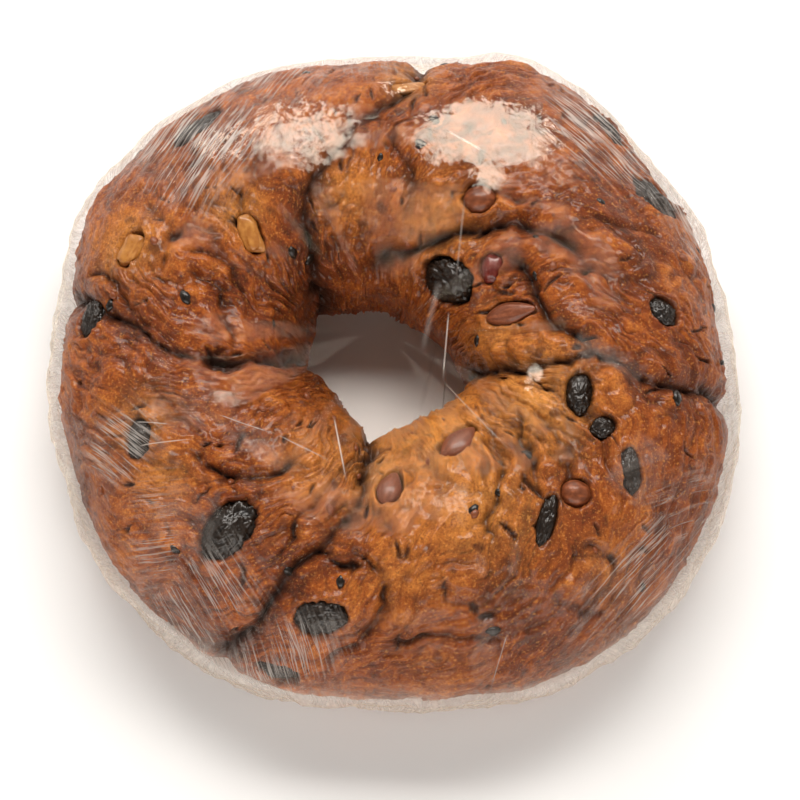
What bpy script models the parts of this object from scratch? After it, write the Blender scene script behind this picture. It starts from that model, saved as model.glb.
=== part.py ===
"""A ring cake of twisted fruit-and-nut dough, sealed in clear film.

The cake is a rope of sweet dough, bent into a ring and baked, so that its
humps lie over each other round a small uneven hole. Raisins, nuts and bits of
candied fruit sit in sockets in the crust. A clear film is stretched over all
of it: it bridges the hole and runs down outside the cake to the table.

Metres, +Z up. The origin is on the table, under the middle of the pack.
Directions are degrees seen from above, anticlockwise from +X, about the middle
of the hole.
"""

import math

import bmesh
import bpy
from mathutils import Vector
from mathutils.kdtree import KDTree

MM = 0.001

# Driving sizes, in millimetres.
HOLE_CENTRE = (-3.5, 3.0)
CROWN_HEIGHT = 74.0
WAIST_SHARE = 0.42  # height of the widest place, as a share of the crown's
BASE_FLATTENING = 1.45  # how far past flat the underside would bulge
CREASE_WIDTH = 7.0
SOCKET_GAP = 0.35  # between a fruit and the wall of its socket
FRUIT_PROUD = 0.6  # how far a fruit stands out of the crust
FILM_ROOM = 2.6  # from the crust to the inside of the film
FILM_WALL = 0.8
FILM_TUCK = 3.0  # how far inside the cake's waist the film meets the table
MEMBRANE_DIP = 2.5  # how far the film over the hole lies under the crown
FILM_CREASED = 0.2  # share of the crust's creases that shows in the film
FILM_TURNS = (103.0, -12.0)  # where it meets the crust by the hole, and leaves its flank
FILM_SHARES = (0.3, 0.88)  # the same two places, as shares of its way from the hole to the table
ROOM_BELOW = 3.0  # how far the cake's room reaches under the table, to open the film's base

# Radii of the ring from the hole's middle, one every 30 degrees from +X.
OUTER_RADII = (133, 132, 137, 128, 131, 133, 126, 130, 135, 132, 142, 140)
INNER_RADII = (29, 23, 21, 25, 28, 32, 28, 23, 24, 29, 28, 33)
FILM_SLACK = (2, 1, 0, 0, 0, 1, 2, 3, 3, 1, 2, 3)  # added room outside the cake's waist
CROWN_RISE = (2, -1, -2, -3, 0, -1, -2, 1, 0, 1, 3, 2)

# The creases between the humps: how deep they are, and their route over the
# ring as (direction, radius from the hole's middle).
CREASES = {
    "upper_left": (
        12, [(136, 26), (133, 40), (126, 47), (120, 60), (116, 66), (99, 84), (86, 103), (82, 130)]
    ),
    "upper_right": (7, [(100, 24), (92, 34), (76, 39), (60, 47), (47, 60), (36, 72), (26, 78), (14, 82)]),
    "right": (
        10, [(38, 59), (26, 58), (10, 61), (-1, 70), (-4, 82), (-9, 94), (-12, 106), (-10, 118), (-7, 140)]
    ),
    "fold": (6, [(-12, 30), (-16, 46), (-14, 63), (-13, 78)]),
    "lower": (
        12, [(262, 22), (263, 48), (262, 71), (256, 84), (251, 98), (248, 113), (246, 125), (240, 142)]
    ),
    "left": (11, [(178, 24), (190, 42), (190, 58), (186, 78), (181, 90), (175, 105), (167, 138)]),
    "left_fold": (6, [(188, 58), (178, 59), (167, 63), (163, 71), (164, 82)]),
}

# Fruit and nuts in the crust: (kind, direction, radius, length, width, turn).
# Turn is the direction in which the long side points.
FRUIT = (
    ("raisin", 46.0, 36.0, 20.0, 16.0, -35.0),
    ("raisin", 30.0, 124.0, 19.0, 13.0, -18.0),
    ("raisin", 46.0, 128.0, 15.0, 10.0, -50.0),
    ("raisin", 341.0, 78.0, 15.0, 9.5, 82.0),
    ("raisin", 5.0, 108.0, 12.0, 9.0, -40.0),
    ("raisin", 130.0, 115.0, 19.0, 10.0, 45.0),
    ("raisin", 175.0, 115.0, 13.0, 10.0, 75.0),
    ("raisin", 204.0, 102.0, 15.0, 9.0, 78.0),
    ("raisin", 233.0, 98.0, 26.0, 16.0, 45.0),
    ("raisin", 258.0, 113.0, 18.0, 12.0, 12.0),
    ("raisin", 252.5, 132.0, 14.0, 9.0, -8.0),
    ("raisin", 309.0, 97.0, 18.0, 7.0, 76.0),
    ("raisin", 329.0, 108.0, 17.0, 7.5, 97.0),
    ("raisin", 334.5, 91.5, 8.0, 7.0, 20.0),
    ("almond", 11.0, 49.0, 20.0, 8.5, 4.0),
    ("almond", 303.0, 52.0, 17.0, 10.0, 55.0),
    ("almond", 272.0, 62.0, 15.0, 9.0, 75.0),
    ("hazelnut", 56.5, 66.0, 12.0, 12.0, 0.0),
    ("hazelnut", 318.0, 97.0, 11.0, 11.0, 0.0),
    ("cherry", 34.0, 49.5, 11.0, 8.0, 80.0),
    ("peel", 142.0, 65.0, 17.0, 9.0, -65.0),
    ("peel", 160.0, 105.0, 16.0, 10.0, 60.0),
    ("peel", 85.0, 108.0, 14.0, 7.0, 12.0),
)
DEPTH_SHARE = {"raisin": 0.75, "almond": 0.8, "hazelnut": 1.0, "cherry": 0.7, "peel": 0.6}

COLOURS = {
    "crust": (0.42, 0.16, 0.045, 1.0),
    "raisin": (0.012, 0.009, 0.007, 1.0),
    "almond": (0.20, 0.055, 0.022, 1.0),
    "hazelnut": (0.24, 0.07, 0.025, 1.0),
    "cherry": (0.16, 0.012, 0.012, 1.0),
    "peel": (0.60, 0.26, 0.03, 1.0),
    "film": (0.90, 0.89, 0.86, 0.25),
}


def clear_scene():
    for obj in list(bpy.data.objects):
        bpy.data.objects.remove(obj)


def new_collection(name):
    collection = bpy.data.collections.new(name)
    bpy.context.scene.collection.children.link(collection)
    return collection


def material(name, roughness):
    """A plain Principled material in one of the COLOURS."""
    made = bpy.data.materials.new(name)
    made.use_nodes = True
    shader = made.node_tree.nodes["Principled BSDF"]
    shader.inputs["Base Color"].default_value = COLOURS[name]
    shader.inputs["Alpha"].default_value = COLOURS[name][3]
    shader.inputs["Roughness"].default_value = roughness
    shader.inputs["Metallic"].default_value = 0.0
    return made


def around(values, direction):
    """A value read smoothly from ones given at equal steps round the ring."""
    count = len(values)
    place = (math.degrees(direction) % 360.0) / (360.0 / count)
    i, t = int(place), place % 1.0
    a, b, c, d = (values[(i + k) % count] for k in (-1, 0, 1, 2))
    return 0.5 * (
        2 * b + (c - a) * t + (2 * a - 5 * b + 4 * c - d) * t**2 + (3 * b - a - 3 * c + d) * t**3
    )


def smooth_route(points, steps=10):
    """Plan positions along a smooth curve through (direction, radius) points."""
    plan = [
        Vector((r * math.cos(math.radians(a)), r * math.sin(math.radians(a)), 0)) for a, r in points
    ]
    plan = [2 * plan[0] - plan[1], *plan, 2 * plan[-1] - plan[-2]]
    route = []
    for i in range(1, len(plan) - 2):
        a, b, c, d = plan[i - 1 : i + 3]
        for step in range(steps):
            t = step / steps
            route.append(
                0.5 * (2 * b + (c - a) * t + (2 * a - 5 * b + 4 * c - d) * t**2
                       + (3 * b - a - 3 * c + d) * t**3)
            )
    return route + [plan[-2]]


def crease_tree(route):
    tree = KDTree(len(route))
    for i, point in enumerate(route):
        tree.insert(point, i)
    tree.balance()
    return tree


CREASE_TREES = [(depth, crease_tree(smooth_route(points))) for depth, points in CREASES.values()]


def crease_depth(x, y):
    """How far the crust is drawn in at a plan position, in millimetres."""
    deepest = 0.0
    for depth, tree in CREASE_TREES:
        away = tree.find(Vector((x, y, 0)))[2] / CREASE_WIDTH
        drawn_in = depth * (0.7 * math.exp(-(away**2)) + 0.3 * math.exp(-((away / 3) ** 2)))
        deepest = max(deepest, drawn_in)
    return deepest


def section(direction, turn, grow=0.0, creased=1.0, base=0.0):
    """A point of the crust, in millimetres from the hole's middle.

    turn goes round the dough from its outer side, over the crown, to its inner
    side. grow moves the point outwards, and base is the lowest height.
    """
    inner = around(INNER_RADII, direction)
    outer = around(OUTER_RADII, direction)
    height = CROWN_HEIGHT + around(CROWN_RISE, direction)
    middle, half = (inner + outer) / 2, (outer - inner) / 2
    waist = WAIST_SHARE * height
    plan_x = (middle + half * math.cos(turn)) * math.cos(direction)
    plan_y = (middle + half * math.cos(turn)) * math.sin(direction)
    drawn_in = creased * crease_depth(plan_x, plan_y) - grow
    radius = middle + (half - drawn_in) * math.cos(turn)
    if math.sin(turn) >= 0:
        z = waist + (height - waist - drawn_in) * math.sin(turn)
    else:
        z = max(base, waist + (waist + grow) * BASE_FLATTENING * math.sin(turn))
    return Vector((radius * math.cos(direction), radius * math.sin(direction), z))


def placed(point):
    """A point given from the hole's middle, in the part's own frame in metres."""
    return Vector((point.x + HOLE_CENTRE[0], point.y + HOLE_CENTRE[1], point.z)) * MM


def add_ring(name, collection, major=64, minor=18, **shape):
    """A torus whose vertices are moved onto the crust."""
    bpy.ops.mesh.primitive_torus_add(
        major_segments=major, minor_segments=minor, major_radius=1.0, minor_radius=0.25
    )
    ring = bpy.context.active_object
    for vertex in ring.data.vertices:
        x, y, z = vertex.co
        direction, turn = math.atan2(y, x), math.atan2(z, math.hypot(x, y) - 1.0)
        vertex.co = placed(section(direction, turn, **shape))
    return adopt(ring, name, collection)


def adopt(obj, name, collection):
    """Names a new object and moves it to its own collection."""
    obj.name = name
    obj.data.name = name
    for old in list(obj.users_collection):
        old.objects.unlink(obj)
    collection.objects.link(obj)
    obj.data.shade_smooth()
    return obj


def smooth_step(value, start, end):
    t = max(0.0, min(1.0, (value - start) / (end - start)))
    return t * t * (3 - 2 * t)


def film_point(direction, share):
    """The outside of the film, from the middle of the hole (0) to the table (1)."""
    over = FILM_ROOM + FILM_WALL
    inner_turn, outer_turn = (math.radians(turn) for turn in FILM_TURNS)
    leaves, hugs = FILM_SHARES
    shoulder = section(direction, inner_turn, grow=over, creased=FILM_CREASED)
    if share < leaves:
        t = share / leaves
        z = shoulder.z - (1 - t * t) * (shoulder.z - (CROWN_HEIGHT - MEMBRANE_DIP))
        return Vector((shoulder.x * t, shoulder.y * t, z))
    if share <= hugs:
        t = (share - leaves) / (hugs - leaves)
        turn = inner_turn + (outer_turn - inner_turn) * t
        slack = around(FILM_SLACK, direction) * smooth_step(90 - math.degrees(turn), 20, 75)
        return section(direction, turn, grow=over + slack, creased=FILM_CREASED)
    t = (share - hugs) / (1 - hugs)
    slack = around(FILM_SLACK, direction)
    edge = section(direction, outer_turn, grow=over + slack, creased=FILM_CREASED)
    out = Vector((math.cos(direction), math.sin(direction), 0))
    foot = around(OUTER_RADII, direction) - FILM_TUCK
    return out * (math.hypot(edge.x, edge.y) * (1 - t) + foot * t) + Vector((0, 0, edge.z * (1 - t)))


def add_film(collection, cake_room, segments=56, rings=16):
    """The pack as a solid, with the cake's room cut out of it from below.

    It is a sphere whose upper rings follow the film, and whose last ones lie
    in the flat underside.
    """
    bpy.ops.mesh.primitive_uv_sphere_add(segments=segments, ring_count=rings, radius=1.0)
    film = bpy.context.active_object
    flat_rings = 2
    last = rings - 1 - flat_rings
    for vertex in film.data.vertices:
        x, y, z = vertex.co
        direction = math.atan2(y, x)
        ring = round(math.degrees(math.acos(max(-1.0, min(1.0, z)))) / (180 / rings))
        if ring <= last:
            point = film_point(direction, ring / last)
        else:
            inward = (rings - ring) / (flat_rings + 1)
            foot = film_point(direction, 1.0)
            point = Vector((foot.x * inward, foot.y * inward, 0))
        vertex.co = placed(point)
    adopt(film, "film_wrap", collection)
    cut(film, cake_room)
    film.data.materials.append(material("film", 0.1))
    return film


def cut(obj, cutter):
    cutter.hide_render = True
    cutter.display_type = "WIRE"
    difference = obj.modifiers.new("cut_" + cutter.name, "BOOLEAN")
    difference.operation = "DIFFERENCE"
    difference.object = cutter


def surface_turn(direction, radius):
    """The turn at which the upper crust is at this plan radius."""
    inner, outer = around(INNER_RADII, direction), around(OUTER_RADII, direction)
    middle, half = (inner + outer) / 2, (outer - inner) / 2
    return math.acos(max(-0.98, min(0.98, (radius - middle) / half)))


def fruit_matrix(direction, radius, length, width, depth, turn):
    """Where a fruit lies: its long side on the crust, its short side along the normal."""
    t = surface_turn(direction, radius)
    step = math.radians(1.0)
    here, smooth = section(direction, t), section(direction, t, creased=0.0)
    ahead = section(direction + step, t, creased=0.0) - smooth
    outwards = section(direction, t - step, creased=0.0) - smooth
    normal = outwards.cross(ahead).normalized()
    along = Vector((math.cos(turn), math.sin(turn), 0))
    along = (along - normal * along.dot(normal)).normalized()
    side = normal.cross(along)
    middle = placed(here + normal * (FRUIT_PROUD - depth / 2))
    return middle, along * (length / 2 * MM), side * (width / 2 * MM), normal * (depth / 2 * MM)


def pinched(point, kind):
    """A ball's point made the shape of this kind of fruit, still within the ball."""
    x, y, z = point
    if kind == "almond":
        taper = 1.0 - 0.30 * (x + 1) / 2
        return Vector((x, y * taper, z * taper))
    if kind == "peel":
        return Vector(tuple(math.copysign(abs(c) ** 0.6, c) * 0.82 for c in (x, y, z)))
    if kind == "raisin":
        shrivel = 1.0 - 0.06 * (1 + math.sin(7 * x + 2 * z)) * abs(y)
        return Vector((x, y * shrivel, z * shrivel))
    return Vector(point)


def add_fruit(name, collection, kind, place, gap):
    """A ball shaped as a fruit and laid in the crust. A gap makes it a socket's cutter."""
    direction, radius, length, width, turn = place
    depth = DEPTH_SHARE[kind] * width
    bpy.ops.mesh.primitive_ico_sphere_add(subdivisions=2, radius=1.0)
    fruit = bpy.context.active_object
    middle, along, side, normal = fruit_matrix(
        math.radians(direction), radius, length, width, depth, math.radians(turn)
    )
    grown = [axis.normalized() * (axis.length + gap * MM) for axis in (along, side, normal)]
    for vertex in fruit.data.vertices:
        x, y, z = vertex.co if gap else pinched(vertex.co, kind)
        vertex.co = grown[0] * x + grown[1] * y + grown[2] * z
    fruit.location = middle
    return adopt(fruit, name, collection)


def settle_faces(obj):
    """Splits the bent faces of a reshaped primitive and turns them outwards.

    Each four-sided face is split the same way, so that the film's room stays
    clear of the crust right across it.
    """
    mesh = bmesh.new()
    mesh.from_mesh(obj.data)
    bmesh.ops.triangulate(mesh, faces=mesh.faces, quad_method="FIXED")
    bmesh.ops.recalc_face_normals(mesh, faces=mesh.faces)
    mesh.to_mesh(obj.data)
    mesh.free()


def main():
    clear_scene()
    parts = new_collection("ring_cake")
    cutters = new_collection("cutters")

    dough = add_ring("dough_ring", parts)
    settle_faces(dough)
    dough.data.materials.append(material("crust", 0.45))

    room = add_ring("cake_room", cutters, grow=FILM_ROOM, base=-ROOM_BELOW)
    settle_faces(room)
    film = add_film(parts, room)
    settle_faces(film)

    finishes = {kind: material(kind, 0.5) for kind in DEPTH_SHARE}
    counts = dict.fromkeys(DEPTH_SHARE, 0)
    for kind, *place in FRUIT:
        counts[kind] += 1
        name = f"{kind}_{counts[kind]:02d}"
        fruit = add_fruit(name, parts, kind, place, gap=0.0)
        fruit.data.materials.append(finishes[kind])
        cut(dough, add_fruit("socket_" + name, cutters, kind, place, gap=SOCKET_GAP))


main()
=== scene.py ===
# A ring cake: twisted fruit dough, glazed and baked, in clear stretch film.
# Shapes are worked out in millimetres from the middle of the hole and turned
# into metres when a mesh is made.

import math

import bmesh
import bpy
import numpy as np
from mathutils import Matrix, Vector


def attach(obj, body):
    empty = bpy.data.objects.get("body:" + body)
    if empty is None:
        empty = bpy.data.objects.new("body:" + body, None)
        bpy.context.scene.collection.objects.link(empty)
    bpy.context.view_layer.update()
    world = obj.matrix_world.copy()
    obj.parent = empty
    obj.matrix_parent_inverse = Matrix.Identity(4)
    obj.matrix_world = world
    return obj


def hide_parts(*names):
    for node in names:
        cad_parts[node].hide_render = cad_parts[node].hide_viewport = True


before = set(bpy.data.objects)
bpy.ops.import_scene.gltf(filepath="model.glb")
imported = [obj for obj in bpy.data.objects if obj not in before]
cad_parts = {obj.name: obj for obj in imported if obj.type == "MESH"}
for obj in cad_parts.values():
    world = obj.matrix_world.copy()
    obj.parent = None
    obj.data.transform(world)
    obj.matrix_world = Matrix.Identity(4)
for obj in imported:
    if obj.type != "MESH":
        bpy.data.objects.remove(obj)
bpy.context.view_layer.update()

mm = 0.001
holeCentre = np.array([-3.5, 3.0, 0.0])  # from the middle of the pack

# The ring's outline, as in the solid parts: radii every 30 degrees from +X.
ring = {
    "outer": (133, 132, 137, 128, 131, 133, 126, 130, 135, 132, 142, 140),
    "inner": (29, 23, 21, 25, 28, 32, 28, 23, 24, 29, 28, 33),
    "rise": (2, -1, -2, -3, 0, -1, -2, 1, 0, 1, 3, 2),
    "crown": 74.0,
    "waistShare": 0.42,
    "baseFlattening": 1.45,
    "baseGap": 0.5,  # the film's thickness under the cake, with its folds
    "baseEdge": 1.2,  # how soft the edge of the flat base is
}

# Where two humps of the rope meet: (direction, radius from the hole's middle).
seams = {
    "upperLeft": [(136, 26), (133, 40), (126, 47), (120, 60), (116, 66), (99, 84), (86, 103), (82, 132)],
    "right": [(-12, 28), (-15, 46), (-12, 63), (-7, 80), (-9, 94), (-12, 106), (-10, 118), (-7, 142)],
    "lower": [(262, 26), (263, 48), (262, 71), (256, 84), (251, 98), (248, 113), (246, 125), (240, 140)],
    "left": [(180, 26), (190, 42), (190, 58), (186, 78), (181, 90), (175, 105), (167, 135)],
}
seamShape = {  # depth at the ends and on the crown, and the width of the rounded shoulders
    "upperLeft": (11.0, 4.5, 11.0),
    "right": (10.0, 5.5, 10.0),
    "lower": (10.0, 5.0, 10.0),
    "left": (10.0, 5.0, 9.0),
}


def between(a, b, c, d, t):  # from b to c on the smooth curve through all four
    return 0.5 * (
        2 * b + (c - a) * t + (2 * a - 5 * b + 4 * c - d) * t**2 + (3 * b - a - 3 * c + d) * t**3
    )


def readRound(values, direction):  # a smooth value between ones given round the ring
    values = np.asarray(values, float)
    place = (np.degrees(direction) % 360.0) / (360.0 / len(values))
    i = place.astype(int)
    return between(*(values[(i + k) % len(values)] for k in (-1, 0, 1, 2)), place - i)


def doughPoint(direction, turn, grow=0.0):  # the smooth ring, without creases
    inner = readRound(ring["inner"], direction)
    outer = readRound(ring["outer"], direction)
    height = ring["crown"] + readRound(ring["rise"], direction)
    middle, half = (inner + outer) / 2, (outer - inner) / 2
    waist = ring["waistShare"] * height
    radius = middle + (half + grow) * np.cos(turn)
    up = np.sin(turn) * np.where(
        np.sin(turn) >= 0, height - waist + grow, (waist + grow) * ring["baseFlattening"]
    )
    z = waist + up
    floor, soft = ring["baseGap"], ring["baseEdge"]
    z = floor + np.logaddexp(0.0, (z - floor) / soft) * soft  # flat below, with a soft edge
    return np.stack([radius * np.cos(direction), radius * np.sin(direction), z], -1)


def doughNormal(direction, turn, step=0.012):
    along = doughPoint(direction + step, turn) - doughPoint(direction - step, turn)
    across = doughPoint(direction, turn + step) - doughPoint(direction, turn - step)
    n = np.cross(along, across)
    return n / np.maximum(np.linalg.norm(n, axis=-1, keepdims=True), 1e-9)


def turnAt(direction, radius):  # the turn on the upper crust at a plan radius
    inner, outer = readRound(ring["inner"], direction), readRound(ring["outer"], direction)
    share = (radius - (inner + outer) / 2) / ((outer - inner) / 2)
    return np.arccos(np.clip(share, -1, 1))


noiseFacts = {"gradients": 64, "seed": 11, "primes": (73856093, 19349663, 83492791), "seedPrime": 668265263,
              "mixer": 1274126177, "gain": 1.7}
gradients = np.random.RandomState(noiseFacts["seed"]).normal(size=(noiseFacts["gradients"], 3))
gradients /= np.linalg.norm(gradients, axis=1, keepdims=True)


def noise(p, scale, seed=0):  # smooth noise from -1 to 1; scale is the size of its cells
    p = np.asarray(p, float) / scale
    cell = np.floor(p).astype(np.int64)
    f = p - cell
    w = f * f * f * (f * (f * 6 - 15) + 10)
    total = np.zeros(len(p))
    for corner in range(8):
        o = np.array([(corner >> k) & 1 for k in range(3)])
        x, y, z = ((cell + o)[:, k] * noiseFacts["primes"][k] for k in range(3))
        h = x ^ y ^ z ^ (seed * noiseFacts["seedPrime"])
        h = (h ^ (h >> 13)) * noiseFacts["mixer"]
        g = gradients[(h ^ (h >> 16)) & (noiseFacts["gradients"] - 1)]
        total += np.prod(np.where(o == 1, w, 1 - w), axis=1) * ((f - o) * g).sum(1)
    return np.clip(total * noiseFacts["gain"], -1, 1)


def wander(p, amount, scale, seed):  # a smooth random shift of each point
    return amount * np.stack([noise(p, scale, seed + k) for k in range(3)], -1)


def ease(value, start, end):  # 0 before start, 1 after end
    t = np.clip((value - start) / (end - start), 0, 1)
    return t * t * (3 - 2 * t)


def distanceTo(points, line):  # from each point to a line of points, and the place along it
    best = np.full(len(points), 1e9)
    place = np.zeros(len(points))
    for k in range(len(line) - 1):
        a, b = line[k], line[k + 1]
        ab = b - a
        t = np.clip(((points - a) @ ab) / max(ab @ ab, 1e-9), 0, 1)
        d = np.linalg.norm(points - (a + t[:, None] * ab), axis=1)
        closer = d < best
        best = np.where(closer, d, best)
        place = np.where(closer, (k + t) / (len(line) - 1), place)
    return best, place


def smoothRoute(points, steps=8):  # more points on a smooth curve through these
    p = np.asarray(points, float)
    p = np.vstack([2 * p[0] - p[1], p, 2 * p[-1] - p[-2]])
    out = []
    for i in range(1, len(p) - 2):
        out += [between(*p[i - 1 : i + 3], t) for t in np.arange(steps) / steps]
    out.append(p[-2])
    return np.array(out)


def onCrust(points):  # (direction, radius) places, in 3-D on the smooth ring
    route = smoothRoute(points)
    direction = np.radians(route[:, 0])
    return doughPoint(direction, turnAt(direction, route[:, 1]))


def seamDirection(name, share):  # the seam's direction, from the hole (0) to the outside (1)
    route = smoothRoute(seams[name])
    direction = np.radians(route[:, 0])
    inner, outer = readRound(ring["inner"], direction), readRound(ring["outer"], direction)
    shares = np.maximum.accumulate((route[:, 1] - inner) / (outer - inner))
    return np.interp(share, shares, direction)


def seamLine(name):
    turn = np.radians(np.linspace(235, -50, 70))
    return doughPoint(seamDirection(name, (1 + np.cos(turn)) / 2), turn)


fruitPieces = [  # kind, direction, radius, length, width, the way the long side points
    ("raisin", 46.0, 35.5, 21.0, 17.0, -35.0),
    ("raisin", 30.0, 124.0, 22.0, 15.0, -18.0),
    ("raisin", 46.0, 128.0, 17.0, 11.0, -50.0),
    ("raisin", 341.0, 78.0, 16.0, 10.0, 82.0),
    ("raisin", 5.0, 108.0, 13.0, 9.5, -40.0),
    ("raisin", 130.0, 115.0, 22.0, 10.0, 45.0),
    ("raisin", 175.0, 115.0, 14.0, 11.0, 75.0),
    ("raisin", 204.0, 102.0, 16.0, 9.5, 78.0),
    ("raisin", 233.0, 98.0, 27.0, 16.0, 45.0),
    ("raisin", 258.0, 113.0, 20.0, 12.5, 12.0),
    ("raisin", 252.5, 132.0, 16.0, 10.0, -8.0),
    ("raisin", 309.0, 97.0, 19.0, 7.0, 76.0),
    ("raisin", 329.0, 108.0, 18.0, 7.5, 97.0),
    ("raisin", 334.5, 91.5, 10.0, 8.0, 20.0),
    ("almond", 11.0, 49.0, 21.0, 9.0, 4.0),
    ("almond", 303.0, 52.0, 18.0, 10.5, 55.0),
    ("almond", 272.0, 62.0, 15.0, 9.5, 75.0),
    ("hazelnut", 56.5, 66.0, 12.5, 12.0, 0.0),
    ("hazelnut", 318.0, 97.0, 11.5, 11.0, 0.0),
    ("cherry", 34.0, 49.5, 12.0, 9.0, 80.0),
    ("peel", 142.0, 65.0, 17.0, 9.0, -65.0),
    ("peel", 160.0, 105.0, 16.0, 10.0, 60.0),
    ("peel", 85.0, 108.0, 14.0, 7.0, 12.0),
]
# What each kind is like: its depth as a share of the width, how far it stands out of the
# crust in mm, how much shade is painted into the crust round it, how fine its mesh is, and its finish.
fruitKinds = {
    "raisin": {
        "depth": 0.70, "proud": 1.3, "socket": 0.8, "detail": 5, "slot": "raisin_skin",
        "low": (0.003, 0.0014, 0.0008), "high": (0.020, 0.011, 0.006), "rough": 0.32, "coat": 0.4,
    },
    "almond": {
        "depth": 0.62, "proud": 1.8, "socket": 0.55, "detail": 4, "slot": "almond_skin",
        "low": (0.15, 0.042, 0.018), "high": (0.34, 0.105, 0.045), "rough": 0.38, "coat": 0.3,
    },
    "hazelnut": {
        "depth": 0.8, "proud": 1.3, "socket": 0.55, "detail": 4, "slot": "hazelnut_skin",
        "low": (0.13, 0.034, 0.012), "high": (0.33, 0.092, 0.030), "rough": 0.40, "coat": 0.25,
    },
    "cherry": {
        "depth": 0.6, "proud": 0.8, "socket": 0.5, "detail": 4, "slot": "candied_cherry",
        "low": (0.10, 0.012, 0.008), "high": (0.22, 0.030, 0.018), "rough": 0.25, "coat": 0.6,
    },
    "peel": {
        "depth": 0.5, "proud": 1.0, "socket": 0.3, "detail": 4, "slot": "candied_peel",
        "low": (0.36, 0.13, 0.025), "high": (0.56, 0.25, 0.055), "rough": 0.32, "coat": 0.4,
    },
}
socketShape = {  # distances are in half lengths of the fruit
    "wall": (0.82, 1.12), "depth": 0.42, "rim": 1.26, "rimWidth": 0.16, "rimHeight": 0.9,
    "shade": (0.98, 1.18),
}
socketGround = {}  # the crust's height at each fruit, which makeFruit reads


def addSockets(p, out, paintedShade):  # the crust gives way round each fruit, and stands up at its rim; shade is painted into the crust round it
    for kind, direction, radius, length, width, turned in fruitPieces:
        near, reach = ovalReach(p, direction, radius, length / 2, width / 2, turned)
        if not len(near):
            continue
        reach = reach * (1 + 0.12 * noise(p[near], 4.0, 31) + 0.05 * noise(p[near], 1.6, 33))
        close = reach < 1.2
        if close.any():
            socketGround[(kind, direction)] = np.median(out[near][close])
        ground = socketGround.get((kind, direction), 0.0)
        inside = 1 - ease(reach, *socketShape["wall"])
        out[near] = out[near] * (1 - inside) + inside * (ground - socketShape["depth"] * width)
        rim = np.exp(-(((reach - socketShape["rim"]) / socketShape["rimWidth"]) ** 2))
        out[near] += socketShape["rimHeight"] * rim * (1 + 0.5 * noise(p[near], 3.0, 32))
        # painted shade in the crust round the fruit
        shade = fruitKinds[kind]["socket"] * (1 - ease(reach, *socketShape["shade"]))
        paintedShade[near] = np.maximum(paintedShade[near], shade)


def ballPoints(detail):
    mesh = bmesh.new()
    bmesh.ops.create_icosphere(mesh, subdivisions=detail, radius=1.0)
    mesh.normal_update()
    points = np.array([v.co[:] for v in mesh.verts])
    faces = [[v.index for v in f.verts] for f in mesh.faces]
    mesh.free()
    return points, faces


def shapeFruit(kind, ball, seed):
    # a ball of radius 1 turned into the fruit, in half lengths, and a tone value: on raisins it follows the
    # folds, so that shade is painted into their hollows; on nuts it follows the ribs; on peel and cherries it
    # is random
    x, y, z = ball.T
    shift = ball + seed * 3.7
    if kind == "raisin":
        warp = ball * (1, 1.3, 1.3) + wander(shift, 0.35, 0.6, 1)
        folds = 1 - np.abs(noise(warp + seed, 0.34, 4))
        small = 1 - np.abs(noise(warp + seed, 0.15, 5))
        squeeze = 1 + 0.22 * noise(shift, 0.9, 6)
        size = squeeze * (0.84 + 0.20 * folds**3 + 0.10 * small**2)
        return ball * size[:, None], 0.65 * folds + 0.35 * small
    if kind == "almond":
        taper = 1 - 0.34 * ease(x, -0.1, 1.0) - 0.08 * ease(-x, 0.3, 1.0)
        around = np.arctan2(z, y)
        ribs = noise(np.stack([np.cos(around) * 3, np.sin(around) * 3, x * 0.5 + seed], -1), 0.55, 7)
        out = np.stack([x, y * taper, z * taper], -1) * (1 + 0.035 * ribs)[:, None]
        return out, 0.5 + 0.5 * ribs
    if kind == "hazelnut":
        around = np.arctan2(y, z)
        ribs = noise(np.stack([np.cos(around) * 2, np.sin(around) * 2, x + seed], -1), 0.5, 8)
        tip = 1 + 0.16 * np.exp(-(((x - 1) / 0.3) ** 2))
        return np.stack([x * tip, y, z], -1) * (1 + 0.02 * ribs)[:, None], 0.5 + 0.5 * ribs
    if kind == "peel":
        square = np.sign(ball) * np.abs(ball) ** 0.75
        square = square * 0.9 * (1 + 0.22 * noise(shift, 0.9, 9) + 0.08 * noise(shift, 0.4, 17))[:, None]
        return square, 0.5 + 0.5 * noise(shift, 0.3, 10)
    bumpy = 1 + 0.14 * noise(shift, 0.8, 11) + 0.05 * noise(shift, 0.35, 12)
    return ball * bumpy[:, None], 0.5 + 0.5 * noise(shift, 0.5, 13)


def makeFruit(number, kind, direction, radius, length, width, turned, finish, name):
    facts = fruitKinds[kind]
    ball, faces = ballPoints(facts["detail"])
    shape, folds = shapeFruit(kind, ball, number)
    place, along, side, normal = surfaceAxes(direction, radius, turned)
    depth = facts["depth"] * width
    middle = place + normal * (socketGround.get((kind, direction), 0.0) + facts["proud"] - depth / 2)
    p = (middle + shape[:, :1] * along * length / 2 + shape[:, 1:2] * side * width / 2
         + shape[:, 2:] * normal * depth / 2)
    mesh = bpy.data.meshes.new(name)
    mesh.from_pydata(((p + holeCentre) * mm).tolist(), [], faces)
    mesh.shade_smooth()
    # the tone value: painted shade in the raisins' hollows
    addAttribute(mesh, "folds", folds)
    mesh.materials.append(finish)
    return addObject(name, mesh)


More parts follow.
